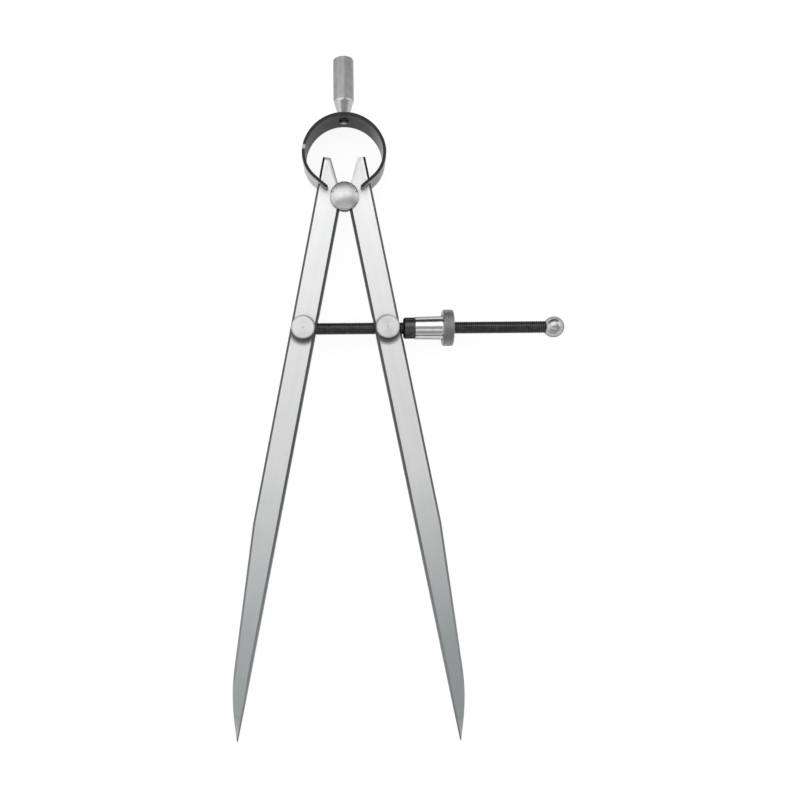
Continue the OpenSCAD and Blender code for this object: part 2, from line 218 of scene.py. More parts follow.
# %% The two halves of the spring
RING_STEPS, BEND_STEPS, NECK_STEPS, PRONG_STEPS = 46, 16, 6, 24
ring, ring_out = arc_line(ring_centre, ring_radius, math.pi / 2, meeting_angle, RING_STEPS)
prong_side = PRONG_SLOPE - math.pi / 2
bend, bend_out = arc_line(bend_centre, BEND_RADIUS, meeting_angle, prong_side, BEND_STEPS)
neck, neck_out = straight_line(bend[-1], SEAT, across_prong, np.linspace(0, 1, NECK_STEPS))
band_line = np.concatenate([ring, bend[1:], neck[1:]])
band_out = np.concatenate([ring_out, bend_out[1:], neck_out[1:]])
PRONG_OVERLAP = 0.02
prong_root = SEAT + along_prong * PRONG_OVERLAP
denser_to_tip = np.sin(np.linspace(0, np.pi / 2, PRONG_STEPS))
prong_line, prong_out = straight_line(prong_root, PRONG_TIP, across_prong, denser_to_tip)
band_width = bow_high[2] - bow_low[2]
prong_width = (band_width - FORK_GAP) / 2
prong_shift = (FORK_GAP + prong_width) / 2


def joined(name, pieces):
    """Makes one object of several, under a new name."""
    with bpy.context.temp_override(active_object=pieces[0], selected_editable_objects=pieces):
        bpy.ops.object.join()
    pieces[0].name = name
    pieces[0].data.name = name
    return pieces[0]


spring_halves = {}
for side, leg in ((-1, "left_leg"), (1, "right_leg")):
    word = leg.split("_")[0]
    parts = [band_piece(word + "_band", band_line, band_out, band_width, middle_z, side, False)]
    for shift, place in ((prong_shift, "front"), (-prong_shift, "rear")):
        label = "%s_%s_prong" % (word, place)
        parts.append(band_piece(label, prong_line, prong_out, prong_width, middle_z + shift, side, True))
    half = joined("bow_spring_" + word, parts)
    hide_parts("bow_spring")
    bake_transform(half)
    spring_halves[word] = half

# %% [markdown]
# ## The thread on the rod
# The CAD rod is a plain cylinder of the thread's outside diameter. A screw thread is one
# groove that climbs by its pitch in each turn, so the radius at a point depends only on its
# place along the rod minus its share of a turn. A trapezium wave of that difference cuts it.

# %% Threaded rod
PITCH = 0.794
THREAD_DEPTH = 0.25
CREST_SHARE = 0.5
ROOT_SHARE = 0.2
ROUND_STEPS = 40
STEPS_PER_PITCH = 8
SPIGOT_D, SPIGOT_LENGTH = 3.0, 5.0
rod_radius = (screw_high[1] - screw_low[1]) / 2
rod_end = screw_high[0] - SPIGOT_LENGTH


def trapezium(phase):
    """A wave of period 1: 0 along the crest, 1 along the root, and straight flanks between them."""
    fold = np.abs(2 * (phase - np.floor(phase)) - 1)
    return np.clip((fold - CREST_SHARE) / (1 - CREST_SHARE - ROOT_SHARE), 0, 1)


def threaded_rod():
    """Radius = outside radius - depth * wave(x / pitch - turn share), with a plain spigot at the end."""
    count = int((rod_end - screw_low[0]) / PITCH * STEPS_PER_PITCH)
    x = np.linspace(screw_low[0], rod_end, count)[:, None]
    share = np.arange(ROUND_STEPS)[None] / ROUND_STEPS
    radius = rod_radius - THREAD_DEPTH * trapezium(x / PITCH - share)
    spigot_x = np.array([[rod_end], [screw_high[0]]])
    x = np.concatenate([x, spigot_x])
    radius = np.concatenate([radius, np.full((2, ROUND_STEPS), SPIGOT_D / 2)])
    turn = 2 * np.pi * np.broadcast_to(share, radius.shape)
    x = np.broadcast_to(x, radius.shape)
    points = np.stack([x, screw_y + radius * np.cos(turn), middle_z + radius * np.sin(turn)], axis=-1)
    piece = grid_piece("threaded_rod", points)
    name_points(piece, "crest", (radius - rod_radius + THREAD_DEPTH) / THREAD_DEPTH)
    return piece


rod = threaded_rod()
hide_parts("adjusting_screw")
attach(rod, "screw")

# %% [markdown]
# ## The nut
# The nut is turned: a smooth sleeve that swells a little towards a flange with a diamond
# knurl. Its outline is spun about the rod's axis. On the flange's rim two sets of slanting
# grooves cross, and what stands between them is a field of small pyramids.

# %% Knurled nut
SLEEVE_LENGTH = 9.9
SLEEVE_START_R, SLEEVE_END_R = 4.025, 4.2
FLANGE_CHAMFER = 0.45
BORE_R = 2.22
COUNTERSINK = 1.0
EDGE_ROUND = 0.12
KNURL_COUNT = 58
KNURL_DEPTH = 0.12
KNURL_SINK = 0.01
KNURL_LEAN = 0.7
KNURL_ROWS = 33
NUT_STEPS = KNURL_COUNT * 8
flange_radius = (nut_high[1] - nut_low[1]) / 2
flange_start = nut_low[0] + SLEEVE_LENGTH
flange_end = nut_high[0]


def nut_outline():
    """Corners of the half section as (x, radius), from the bore round the outside and back.
    The rim between the chamfers has many rows, to hold the knurl."""
    rim = np.linspace(flange_start + FLANGE_CHAMFER, flange_end - FLANGE_CHAMFER, KNURL_ROWS)
    soft = EDGE_ROUND
    start = [
        (nut_low[0], BORE_R), (nut_low[0], SLEEVE_START_R - 2 * soft),
        (nut_low[0], SLEEVE_START_R - soft), (nut_low[0] + 0.3 * soft, SLEEVE_START_R - 0.3 * soft),
        (nut_low[0] + soft, SLEEVE_START_R), (nut_low[0] + 2 * soft, SLEEVE_START_R),
        (flange_start - 3 * soft, SLEEVE_END_R), (flange_start - soft, SLEEVE_END_R + 0.3 * soft),
        (flange_start, SLEEVE_END_R + soft), (flange_start, flange_radius - FLANGE_CHAMFER),
    ]
    finish = [
        (flange_end, flange_radius - FLANGE_CHAMFER), (flange_end, BORE_R + COUNTERSINK),
        (flange_end - COUNTERSINK, BORE_R),
    ]
    outline = start + [(x, flange_radius) for x in rim] + finish
    return np.array(outline), len(start), len(start) + len(rim)


def saw(phase):
    """A wave from 0 to 1 and back with straight sides, of period 1."""
    return 1 - np.abs(2 * (phase - np.floor(phase)) - 1)


def knurled_nut():
    """Outline spun about the rod: radius - depth * (1 - the lower of two crossing waves) on the rim."""
    outline, rim_first, rim_stop = nut_outline()
    turn = 2 * np.pi * np.arange(NUT_STEPS)[None] / NUT_STEPS
    x = np.broadcast_to(outline[:, :1], (len(outline), NUT_STEPS))
    radius = np.broadcast_to(outline[:, 1:], x.shape).copy()
    starts = KNURL_COUNT * turn / (2 * np.pi)
    per_turn = KNURL_LEAN * KNURL_COUNT / (2 * np.pi * flange_radius)
    lean = (x[rim_first:rim_stop] - flange_start) * per_turn
    pyramid = np.minimum(saw(starts + lean), saw(starts - lean))
    radius[rim_first:rim_stop] -= KNURL_SINK + KNURL_DEPTH * (1 - pyramid)
    points = np.stack([x, screw_y + radius * np.cos(turn), middle_z + radius * np.sin(turn)], axis=-1)
    piece = grid_piece("knurled_nut", points, ends_closed=False)
    knurled = np.zeros(x.shape)
    knurled[rim_first - 1:rim_stop + 1] = 1
    name_points(piece, "knurled", knurled)
    return piece


nut = knurled_nut()
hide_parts("adjusting_nut")
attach(nut, "nut")

# %% [markdown]
# ## Helpers for shader nodes
# A material is a graph. One small function adds a node, sets what it is given, and links
# whatever is a socket, so that each finish below reads as a short list of steps.

# %% Node helpers
def put(tree, kind, inputs=None, **settings):
    """Adds a node. Settings are its properties; inputs are values, or sockets to link, by name or number."""
    node = tree.nodes.new(kind)
    for name, value in settings.items():
        setattr(node, name, value)
    for name, value in (inputs or {}).items():
        if isinstance(value, bpy.types.NodeSocket):
            tree.links.new(value, node.inputs[name])
        else:
            node.inputs[name].default_value = value
    return node


def calc(tree, operation, *values):
    """A Math node on sockets or numbers; gives its output."""
    return put(tree, "ShaderNodeMath", dict(enumerate(values)), operation=operation).outputs[0]


def spread(tree, value, low, high, to_low, to_high):
    """Maps a value from one range to another, held at the ends; gives its output."""
    ranges = {"From Min": low, "From Max": high, "To Min": to_low, "To Max": to_high, "Value": value}
    return put(tree, "ShaderNodeMapRange", ranges, clamp=True).outputs["Result"]


def tint(tree, share, first, second):
    """Mixes two colours, or two colour sockets, by a share."""
    mix = put(tree, "ShaderNodeMix", data_type="RGBA")
    for socket, value in ((0, share), (6, first), (7, second)):
        if isinstance(value, bpy.types.NodeSocket):
            tree.links.new(value, mix.inputs[socket])
        else:
            mix.inputs[socket].default_value = value if socket == 0 else (*value, 1)
    return mix.outputs[2]


def group_tree(name, inputs, outputs):
    """An empty node group with named sockets; gives the tree, its input node and its output node."""
    tree = bpy.data.node_groups.new(name, "ShaderNodeTree")
    for label, kind in inputs:
        tree.interface.new_socket(label, in_out="INPUT", socket_type="NodeSocket" + kind)
    for label, kind in outputs:
        tree.interface.new_socket(label, in_out="OUTPUT", socket_type="NodeSocket" + kind)
    return tree, tree.nodes.new("NodeGroupInput"), tree.nodes.new("NodeGroupOutput")


# %% [markdown]
# ## Effects that several finishes share
# Grinding leaves long fine lines, turning leaves rings, and handling leaves cloudy marks.
# Each is a node group that gives a number from 0 to 1 over the surface. Noise keeps close to
# the middle of that range, so a finish that reads it stretches the part between two limits.

# %% Long grinding lines
NOISE_SPAN = (0.3, 0.7)


def make_grain():
    """Noise drawn out along Y: x and z are multiplied by the lines per metre, y by the lengths per metre."""
    tree, given, out = group_tree(
        "grinding_lines",
        [("Vector", "Vector"), ("Lines per metre", "Float"), ("Lengths per metre", "Float")],
        [("Lines", "Float")],
    )
    scale = put(tree, "ShaderNodeCombineXYZ", {
        "X": given.outputs[1], "Y": given.outputs[2], "Z": given.outputs[1]})
    drawn = put(tree, "ShaderNodeVectorMath", {
        0: given.outputs[0], 1: scale.outputs[0]}, operation="MULTIPLY")
    noise = put(tree, "ShaderNodeTexNoise", {
        "Vector": drawn.outputs[0], "Scale": 1.0, "Detail": 3.0, "Roughness": 0.6})
    tree.links.new(noise.outputs[0], out.inputs[0])
    return tree


# %% Turning rings about an axis along Z
def make_rings():
    """One-dimensional noise of the distance from a centre, so that it draws rings of uneven depth."""
    tree, given, out = group_tree(
        "turning_rings",
        [("Vector", "Vector"), ("Centre", "Vector"), ("Rings per metre", "Float")],
        [("Rings", "Float"), ("Radius", "Float")],
    )
    offset = put(tree, "ShaderNodeVectorMath", {
        0: given.outputs[0], 1: given.outputs[1]}, operation="SUBTRACT")
    flat = put(tree, "ShaderNodeVectorMath", {
        0: offset.outputs[0], 1: (1.0, 1.0, 0.0)}, operation="MULTIPLY")
    radius = put(tree, "ShaderNodeVectorMath", {0: flat.outputs[0]}, operation="LENGTH").outputs["Value"]
    place = calc(tree, "MULTIPLY", radius, given.outputs[2])
    noise = put(tree, "ShaderNodeTexNoise", {"W": place, "Scale": 1.0, "Detail": 2.0}, noise_dimensions="1D")
    tree.links.new(noise.outputs[0], out.inputs[0])
    tree.links.new(radius, out.inputs[1])
    return tree


# %% Cloudy handling marks
CLOUD_SPAN = (0.34, 0.66)


def make_clouds():
    """Soft noise with its contrast raised; the size is in marks per metre."""
    tree, given, out = group_tree(
        "handling_marks", [("Vector", "Vector"), ("Marks per metre", "Float")], [("Marks", "Float")])
    noise = put(tree, "ShaderNodeTexNoise", {
        "Vector": given.outputs[0], "Scale": given.outputs[1], "Detail": 5.0, "Roughness": 0.62})
    tree.links.new(spread(tree, noise.outputs[0], *CLOUD_SPAN, 0.0, 1.0), out.inputs[0])
    return tree


grain_group, ring_group, cloud_group = make_grain(), make_rings(), make_clouds()


def use(tree, group, inputs):
    """Places a group in a material with its own values; gives the node."""
    return put(tree, "ShaderNodeGroup", inputs, node_tree=group)


def new_finish(name, **values):
    """A metal material with the given shader values; gives it, its tree, its shader and its coordinates."""
    material = bpy.data.materials.new(name)
    material.use_nodes = True
    tree = material.node_tree
    shader = tree.nodes["Principled BSDF"]
    shader.inputs["Metallic"].default_value = 1.0
    for label, value in values.items():
        shader.inputs[label.replace("_", " ")].default_value = value
    place = put(tree, "ShaderNodeTexCoord")
    return material, tree, shader, place


def finish_with(tree, shader, colour, roughness, height, depth, strength):
    """Links the colour, the roughness and a bump of a real depth in metres."""
    bump = put(tree, "ShaderNodeBump", {"Height": height, "Strength": strength, "Distance": depth})
    for socket, label in ((colour, "Base Color"), (roughness, "Roughness"), (bump.outputs[0], "Normal")):
        tree.links.new(socket, shader.inputs[label])


def facing_front(tree, place):
    """How squarely a face looks to the front or the back: the absolute z of its normal."""
    normal = put(tree, "ShaderNodeSeparateXYZ", {0: place.outputs["Normal"]})
    return calc(tree, "ABSOLUTE", normal.outputs[2])


# %% [markdown]
# ## The legs' finish
# The faces are ground along the leg. Painted shade darkens the faces towards the points, and
# the narrow edges and chamfers all along. The legs are mirror images, so the absolute value of x
# lets one material serve both. Turning that by the legs' spread gives a frame with x across the
# leg and y along it. The tails above the pivot are worn, and their inner slopes and tops carry
# painted shade, the left one more. The right leg has more painted shade near its point, a painted
# shadow lies round and below each stud's head, and a painted highlight brightens each point.

# %% Leg steel
LEG_SPREAD = math.radians(11.28)
LEG_LENGTH = 201.2 * MM
GRIND_START = 24 * MM - LEG_LENGTH
DARK_FROM, LIGHT_FROM = -165 * MM, -100 * MM
INNER_EDGE = 1.05 * MM
TAIL_HEIGHT = 12.6 * MM
TAIL_LEAN = 0.52
STUD_HEAD_R = (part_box("right_swivel_stud")[1][0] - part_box("right_swivel_stud")[0][0]) / 2
# The face's top and lower colours are painted light and shade; the point's colour is a painted highlight.
FACE_LIT, FACE_SHADED = (0.86, 0.86, 0.855), (0.485, 0.512, 0.515)
FACE_GROUND, TIP_HIGHLIGHT = (0.56, 0.59, 0.59), (0.9, 0.9, 0.89)
STREAKS, SMEARS = (0.5, 0.51, 0.52), (0.86, 0.86, 0.85)
# Painted shadow round the studs' heads, and painted shade near the right leg's point.
STUD_SHADOW, LOWER_SHADE = (0.07, 0.07, 0.07), (0.08, 0.085, 0.085)
# The tails' worn dull colour, and the painted shade on their slopes and tops.
TAIL_DULL, TAIL_SHADE = (0.6, 0.6, 0.58), (0.16, 0.16, 0.15)
# Painted shade on the edges and chamfers, at the top and lower down.
EDGE_SHADE_HIGH, EDGE_SHADE_LOW = (0.12, 0.125, 0.128), (0.27, 0.28, 0.28)
# Rings of painted shadow round each stud's head; the lower one is wider.
STUD_SHADOW_RINGS = (
    {"drop": 0.0, "clear": 0.2, "faded": 0.6, "amount": 0.6},
    {"drop": 1.0, "clear": 0.1, "faded": 1.5, "amount": 0.85},
)


def stud_painted_shadow(tree, folded):
    """Rings of painted shadow round the stud's head, the wider one a little lower: the most of both at each
    point.
    """
    grime = 0.0
    for ring in STUD_SHADOW_RINGS:
        centre = (right_stud[0], right_stud[1] - ring["drop"] * MM, 0.0)
        away = use(tree, ring_group, {"Vector": folded, "Centre": centre, "Rings per metre": 1.0})
        inner, outer = STUD_HEAD_R + ring["clear"] * MM, STUD_HEAD_R + ring["faded"] * MM
        shade = spread(tree, away.outputs["Radius"], inner, outer, ring["amount"], 0.0)
        grime = calc(tree, "MAXIMUM", grime, shade)
    return grime


def tail_painted_shade(tree, across, along, right_side):
    """Painted shade on the tail's sloping inner edge and its top, strongest on the left leg."""
    from_slope = calc(tree, "SUBTRACT", across, calc(tree, "MULTIPLY", along, TAIL_LEAN))
    slope = spread(tree, from_slope, INNER_EDGE + 0.2 * MM, INNER_EDGE + 1.3 * MM, 1.0, 0.0)
    slope = calc(tree, "MULTIPLY", slope, spread(tree, along, 1 * MM, 3 * MM, 0.0, 1.0))
    crown = spread(tree, along, TAIL_HEIGHT - 1.2 * MM, TAIL_HEIGHT - 0.6 * MM, 0.0, 1.0)
    amount = spread(tree, right_side, 0.0, 1.0, 0.8, 0.2)
    return calc(tree, "MULTIPLY", calc(tree, "MAXIMUM", slope, crown), amount)


def leg_finish():
    """Ground faces with painted shade down the leg and on the edges, worn tails with painted shade, a
    painted shadow round each stud's head and a painted highlight at the point.
    """
    material, tree, shader, place = new_finish("ground_leg_steel")
    apart = put(tree, "ShaderNodeSeparateXYZ", {0: place.outputs["Object"]}).outputs
    folded = put(tree, "ShaderNodeCombineXYZ", {
        0: calc(tree, "ABSOLUTE", apart[0]), 1: apart[1], 2: apart[2]}).outputs[0]
    in_leg = put(tree, "ShaderNodeMapping", {"Vector": folded, "Rotation": (0, 0, -LEG_SPREAD)}).outputs[0]
    across, along = put(tree, "ShaderNodeSeparateXYZ", {0: in_leg}).outputs[:2]
    right_side = spread(tree, apart[0], -MM, MM, 0.0, 1.0)
    lines = use(tree, grain_group, {
        "Vector": in_leg, "Lines per metre": 3800.0, "Lengths per metre": 45.0}).outputs[0]
    broad = use(tree, grain_group, {
        "Vector": in_leg, "Lines per metre": 420.0, "Lengths per metre": 14.0}).outputs[0]
    marks = use(tree, cloud_group, {"Vector": in_leg, "Marks per metre": 130.0}).outputs[0]
    # Painted shade: the faces darken towards the points.
    shade_down_leg = spread(tree, along, DARK_FROM, LIGHT_FROM, 1.0, 0.0)
    ground = spread(tree, along, GRIND_START - 0.4 * MM, GRIND_START + 0.4 * MM, 1.0, 0.0)
    # Painted highlight on the last millimetres of each point.
    tip_highlight = spread(tree, along, -LEG_LENGTH + 3 * MM, -LEG_LENGTH + 9 * MM, 0.7, 0.0)
    face = tint(tree, shade_down_leg, FACE_LIT, FACE_SHADED)
    face = tint(tree, ground, face, FACE_GROUND)
    face = tint(tree, tip_highlight, face, TIP_HIGHLIGHT)
    face = tint(tree, calc(tree, "MULTIPLY", broad, 0.3), face, STREAKS)
    face = tint(tree, calc(tree, "MULTIPLY", marks, 0.1), face, SMEARS)
    # Painted shadow round and below each stud's head.
    face = tint(tree, stud_painted_shadow(tree, folded), face, STUD_SHADOW)
    # Painted shade on the right leg towards its point.
    right_point_shade = calc(tree, "MULTIPLY", calc(tree, "MULTIPLY", right_side, shade_down_leg), 0.17)
    face = tint(tree, right_point_shade, face, LOWER_SHADE)
    face = tint(tree, spread(tree, along, 1 * MM, 6 * MM, 0.0, 0.3), face, TAIL_DULL)
    # Painted shade on the tails' inner slopes and tops.
    face = tint(tree, tail_painted_shade(tree, across, along, right_side), face, TAIL_SHADE)
    # Painted shade on the edges, the chamfers and the ground part's inner edge.
    edge_shade = spread(tree, facing_front(tree, place), 0.8, 0.95, 1.0, 0.0)
    line = spread(tree, across, INNER_EDGE + 0.3 * MM, INNER_EDGE + 0.75 * MM, 0.85, 0.0)
    edge_shade = calc(tree, "MAXIMUM", edge_shade, calc(tree, "MULTIPLY", ground, line))
    colour = tint(tree, edge_shade, face, tint(tree, shade_down_leg, EDGE_SHADE_HIGH, EDGE_SHADE_LOW))
    rough = spread(tree, lines, *NOISE_SPAN, 0.43, 0.53)
    rough = calc(tree, "ADD", rough, calc(tree, "MULTIPLY", marks, 0.05))
    finish_with(tree, shader, colour, rough, lines, 0.012 * MM, 0.35)
    return material


# %% [markdown]
# ## Turned ends
# The fulcrum's dome and the studs' heads were faced on a lathe. Rings about each one's own
# axis scatter the light sideways, which the shader's anisotropy shows as bright and dark fans.
# On the dome the finest scratches run outwards, so its fans lie a quarter of a turn round. The centre
# dimples, rims and side walls are painted dark as shade.

# %% Turned steel
RING_SIZE = 0.3 * MM
RIM_START, RIM_FULL = 0.6 * MM, 0.1 * MM
TURNED_ROUGH = (0.26, 0.4)
# The second and third colours are painted shade for the dimple, the rim and the side walls.
TURNED_MARKS, TURNED_SHADE, WALL_SHADE = (0.5, 0.5, 0.5), (0.2, 0.2, 0.2), (0.08, 0.08, 0.08)


def turned_finish(name, centre, radius, colour, fan_turn, pip):
    """Rings about a centre, with painted shade: a dark mark of radius pip for the centre dimple, a darker
    rim and dark side walls.
    fan_turn is the share of a full turn that the fans of light are turned by."""
    material, tree, shader, place = new_finish(name, Anisotropic=0.6, Anisotropic_Rotation=fan_turn)
    where = place.outputs["Object"]
    turning = use(tree, ring_group, {"Vector": where, "Centre": centre, "Rings per metre": 1 / RING_SIZE})
    rings, away = turning.outputs
    marks = use(tree, cloud_group, {"Vector": where, "Marks per metre": 700.0}).outputs[0]
    face = tint(tree, calc(tree, "MULTIPLY", rings, 0.35), colour, [c * 0.6 for c in colour])
    face = tint(tree, calc(tree, "MULTIPLY", marks, 0.12), face, TURNED_MARKS)
    # Painted shade in the centre dimple, on the rim and on the side walls.
    face = tint(tree, spread(tree, away, pip * 0.5, pip, 0.6, 0.0), face, TURNED_SHADE)
    rim = spread(tree, away, radius - RIM_START, radius - RIM_FULL, 0.0, 0.45)
    face = tint(tree, rim, face, TURNED_SHADE)
    wall_shade = spread(tree, facing_front(tree, place), 0.3, 0.6, 0.9, 0.0)
    face = tint(tree, wall_shade, face, WALL_SHADE)
    rough = spread(tree, rings, *NOISE_SPAN, *TURNED_ROUGH)
    finish_with(tree, shader, face, rough, rings, 0.02 * MM, 0.4)
    tangent = put(tree, "ShaderNodeTangent", direction_type="RADIAL", axis="Z")
    tree.links.new(tangent.outputs[0], shader.inputs["Tangent"])
    return material


# %% [markdown]
# ## The spring's finish
# Tempering leaves the band dark. Its outside was polished lighter, its edges and its inside
# were not. The piece's own numbers say where a point lies: outside runs from -1 to 1, and
# along and across are millimetres from the middle of the top, or from the root on a prong.
# Both halves have one colour at the top, so that no seam shows there. Below it the left half's
# outside is painted lighter and the right half's darker, as light and shade, and a painted sheen
# lies on the insides towards their ends, mostly on the right. Painted shade darkens the band round
# the rivet and the prongs where they meet the legs.

# %% Spring steel
TOP_COLOUR = (0.38, 0.38, 0.375)
OXIDE_DARK, OXIDE_LIGHT = (0.026, 0.026, 0.027), (0.042, 0.043, 0.045)
# Painted shadow round the rivet, the colour of the painted sheen inside and of the nick, and marks on the
# outside.
RIVET_SHADE, SHEEN_AND_NICK_COLOUR, OUTSIDE_MARKS = (0.008, 0.008, 0.008), (0.42, 0.43, 0.44), (0.16, 0.16, 0.16)
RIVET_DARK_R, RIVET_CLEAR_R = 2.1, 2.7
# Where the painted sheen on the inside begins and where it is full.
SHEEN_START, SHEEN_FULL = 10.0, 24.0
TOP_END, SIDE_START = 8.0, 30.0


def spring_finish(name, outer_colour, inner_light, nick):
    """Dark oxide on the inside and the edges, bare metal on the outside. inner_light says how strong a
    painted sheen is on the inside near the end; nick is the place along the band of a small bright dent.
    outer_colour, the outside below the top, carries painted light and shade."""
    material, tree, shader, _ = new_finish(name, Specular_IOR_Level=0.1)
    names = ("outside", "along", "across", "prong")
    outside, along, across, prong = (
        put(tree, "ShaderNodeAttribute", attribute_name=n).outputs["Fac"] for n in names)
    own = put(tree, "ShaderNodeCombineXYZ", {
        0: calc(tree, "MULTIPLY", across, MM), 1: calc(tree, "MULTIPLY", along, MM), 2: outside}).outputs[0]
    lines = use(tree, grain_group, {
        "Vector": own, "Lines per metre": 3000.0, "Lengths per metre": 90.0}).outputs[0]
    marks = use(tree, cloud_group, {"Vector": own, "Marks per metre": 260.0}).outputs[0]
    polished = spread(tree, outside, 0.9, 1.0, 0.0, 1.0)
    inside = spread(tree, outside, -1.0, -0.9, 1.0, 0.0)
    # Painted sheen on the inside towards the end.
    sheen_and_nick = calc(tree, "MULTIPLY", inside, spread(tree, along, SHEEN_START, SHEEN_FULL, 0.0, inner_light))
    # Painted shade: the prongs' outside stays dark where they meet the leg.
    inner_prong = spread(tree, calc(tree, "ABSOLUTE", across), 4.0, 4.6, 1.0, 0.0)
    prong_contact_shade = calc(tree, "MULTIPLY", prong, inner_prong)
    polished = calc(tree, "SUBTRACT", polished, calc(tree, "MULTIPLY", prong_contact_shade, polished))
    if nick:
        beside = calc(tree, "ABSOLUTE", calc(tree, "SUBTRACT", along, nick))
        near = spread(tree, beside, 0.5, 1.0, 0.9, 0.0)
        at_front = spread(tree, across, 5.9, 6.1, 0.0, 1.0)
        sheen_and_nick = calc(tree, "MAXIMUM", sheen_and_nick, calc(tree, "MULTIPLY", near, at_front))
    dark = tint(tree, marks, OXIDE_DARK, OXIDE_LIGHT)
    # Painted shadow round the rivet at the top of the band.
    on_band = put(tree, "ShaderNodeCombineXYZ", {0: across, 1: along}).outputs[0]
    from_top = put(tree, "ShaderNodeVectorMath", {0: on_band}, operation="LENGTH").outputs["Value"]
    rivet_shadow = spread(tree, from_top, RIVET_DARK_R, RIVET_CLEAR_R, 0.8, 0.0)
    dark = tint(tree, rivet_shadow, dark, RIVET_SHADE)
    colour = tint(tree, sheen_and_nick, dark, SHEEN_AND_NICK_COLOUR)
    # Painted light and shade on the outside below the top: lighter on the left half, darker on the right.
    bright = tint(tree, spread(tree, along, TOP_END, SIDE_START, 0.0, 1.0), TOP_COLOUR, outer_colour)
    bright = tint(tree, calc(tree, "MULTIPLY", marks, 0.3), bright, OUTSIDE_MARKS)
    colour = tint(tree, polished, colour, bright)
    tree.links.new(calc(tree, "MAXIMUM", polished, sheen_and_nick), shader.inputs["Metallic"])
    rough = spread(tree, lines, *NOISE_SPAN, 0.34, 0.48)
    finish_with(tree, shader, colour, rough, lines, 0.012 * MM, 0.3)
    return material


# %% [markdown]
# ## The handle's finish
# The handle is milled bar with a satin face. Fine lines run along it, and the end that is
# riveted over inside the spring is dark, because it was blackened with the spring.

# %% Handle steel
CONE_HEIGHT, CONE_FADE = 6.3, 0.4
RIVET_HIGH, RIVET_LOW = 0.9, 1.2
SATIN_DARK, SATIN_LIGHT = (0.33, 0.33, 0.325), (0.43, 0.43, 0.425)
SATIN_LINES, CONE_COLOUR = (0.22, 0.22, 0.22), (0.5, 0.5, 0.495)
RIVET_BLACK, RIVET_BARE = (0.045, 0.045, 0.045), (0.5, 0.5, 0.5)


def handle_finish():
    """Lines along Y, cloudy wear, a brighter cone, and a dark riveted end with a bright middle."""
    material, tree, shader, place = new_finish("satin_handle_steel", Specular_Tint=(0.8, 0.8, 0.8, 1))
    where = place.outputs["Object"]
    lines = use(tree, grain_group, {
        "Vector": where, "Lines per metre": 3500.0, "Lengths per metre": 120.0}).outputs[0]
    marks = use(tree, cloud_group, {"Vector": where, "Marks per metre": 420.0}).outputs[0]
    face = tint(tree, marks, SATIN_DARK, SATIN_LIGHT)
    face = tint(tree, calc(tree, "MULTIPLY", lines, 0.5), face, SATIN_LINES)
    height = put(tree, "ShaderNodeSeparateXYZ", {0: where}).outputs[1]
    cone_end = bow_high[1] + CONE_HEIGHT
    cone = spread(tree, height, (cone_end - CONE_FADE) * MM, cone_end * MM, 1.0, 0.0)
    face = tint(tree, cone, face, CONE_COLOUR)
    rivet = spread(tree, height, (bow_high[1] - RIVET_LOW) * MM, (bow_high[1] - RIVET_HIGH) * MM, 1.0, 0.0)
    level = put(tree, "ShaderNodeVectorMath", {0: where, 1: (1.0, 0.0, 1.0)}, operation="MULTIPLY")
    off_axis = put(tree, "ShaderNodeVectorMath", {
        0: level.outputs[0], 1: (0.0, 0.0, middle_z * MM)}, operation="DISTANCE").outputs["Value"]
    bare = spread(tree, off_axis, 0.5 * MM, 1.1 * MM, 0.6, 0.0)
    colour = tint(tree, rivet, face, tint(tree, bare, RIVET_BLACK, RIVET_BARE))
    rough = spread(tree, lines, *NOISE_SPAN, 0.38, 0.48)
    rough = calc(tree, "SUBTRACT", rough, calc(tree, "MULTIPLY", cone, 0.18))
    finish_with(tree, shader, colour, rough, lines, 0.015 * MM, 0.35)
    return material


# %% [markdown]
# ## Black and polished steel
# The rod and the collar are blackened, and the black has worn to bare steel in a few places
# on the thread. The nut and the ball are polished, with the last faint marks of the lathe.
# A low specular tint keeps both kinds dark where their rounds turn away from the eye.

# %% Black steel
BLACK_DARK, BLACK_LIGHT = (0.07, 0.07, 0.071), (0.11, 0.11, 0.111)
BARE_STEEL = (0.5, 0.49, 0.47)


def black_finish(name, worn_attribute):
    """Near-black oxide; where a worn attribute is given, its high places show specks of bare steel."""
    material, tree, shader, place = new_finish(name, Specular_Tint=(0.08, 0.08, 0.08, 1))
    where = place.outputs["Object"]
    marks = use(tree, cloud_group, {"Vector": where, "Marks per metre": 500.0}).outputs[0]
    colour = tint(tree, marks, BLACK_DARK, BLACK_LIGHT)
    if worn_attribute:
        crest = put(tree, "ShaderNodeAttribute", attribute_name=worn_attribute).outputs["Fac"]
        specks = put(tree, "ShaderNodeTexNoise", {"Vector": where, "Scale": 900.0, "Detail": 2.0}).outputs[0]
        bare = spread(tree, specks, 0.66, 0.74, 0.0, 0.35)
        bare = calc(tree, "MULTIPLY", spread(tree, crest, 0.85, 1.0, 0.0, 1.0), bare)
        colour = tint(tree, bare, colour, BARE_STEEL)
    rough = spread(tree, marks, 0.0, 1.0, 0.28, 0.42)
    finish_with(tree, shader, colour, rough, marks, 0.01 * MM, 0.2)
    return material


# %% Polished steel
LATHE_STRETCH = (9000.0, 60.0, 60.0)
POLISHED_TINT, KNURL_TINT = (0.1, 0.1, 0.1), (1, 1, 1)
KNURL_COLOUR = (0.24, 0.24, 0.235)


